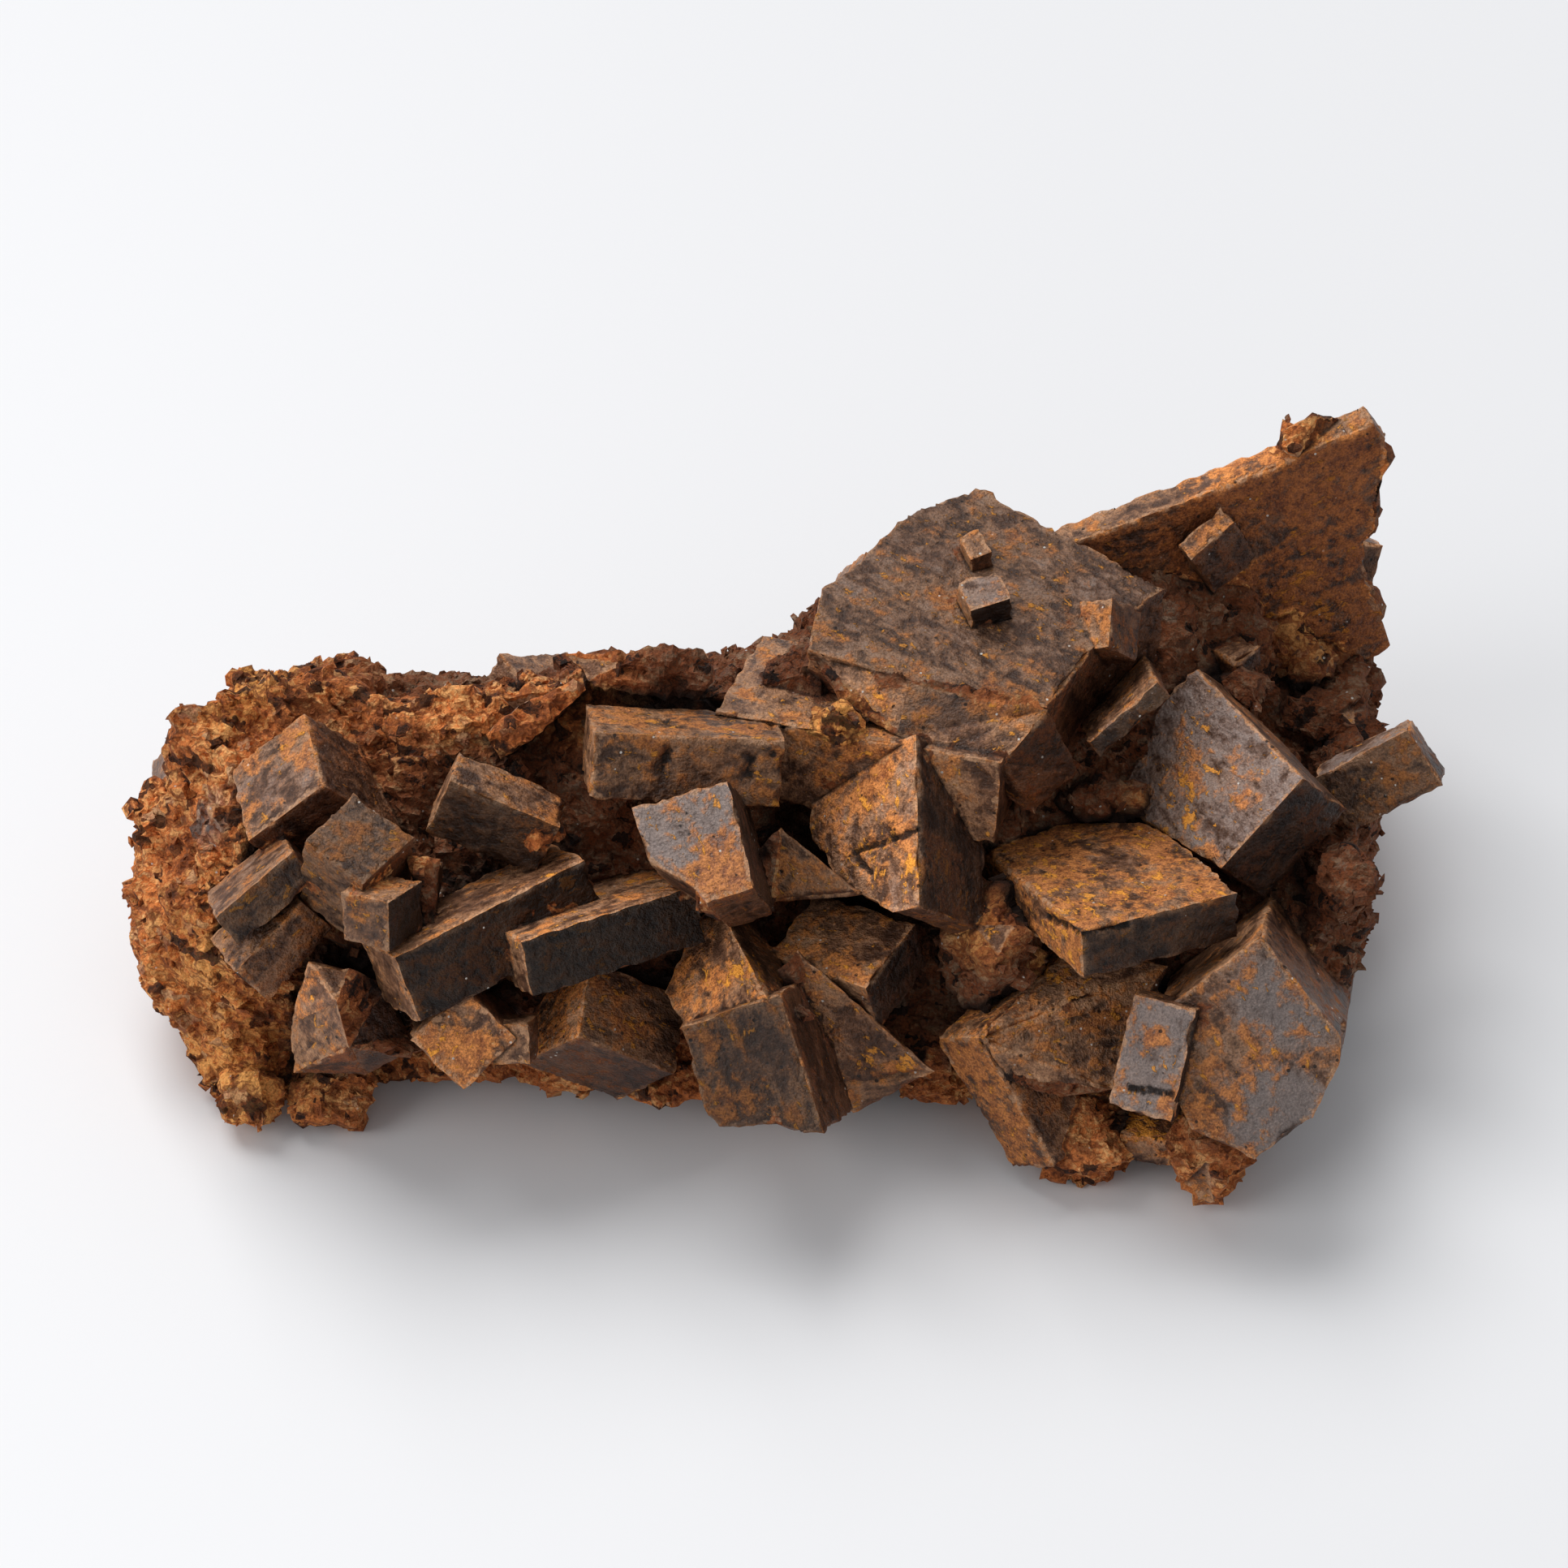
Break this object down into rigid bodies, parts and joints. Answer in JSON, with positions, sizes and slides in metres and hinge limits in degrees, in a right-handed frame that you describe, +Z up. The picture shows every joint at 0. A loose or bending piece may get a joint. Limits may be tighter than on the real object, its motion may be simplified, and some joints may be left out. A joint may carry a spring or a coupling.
{
  "type": "limonite pseudomorph after pyrite",
  "caption": "Long free-standing cluster of intergrown brown cube-like limonite crystals on rusty granular crust, lying on a flat foot.",
  "frame": {"origin": "middle of the bounding box's bottom face, level with the flat foot", "axes": "+X along the cluster's length towards the end with the tall standing crystal plate, -Y towards the crystal-covered face that the picture shows, +Z up"},
  "size_m": [0.06, 0.0354, 0.023],
  "materials": {
    "limonite": "satin crystal faces with rusty earthy crust"
  },
  "bodies": {
    "root": {"limonite_cluster": "limonite"}
  },
  "joints": []
}
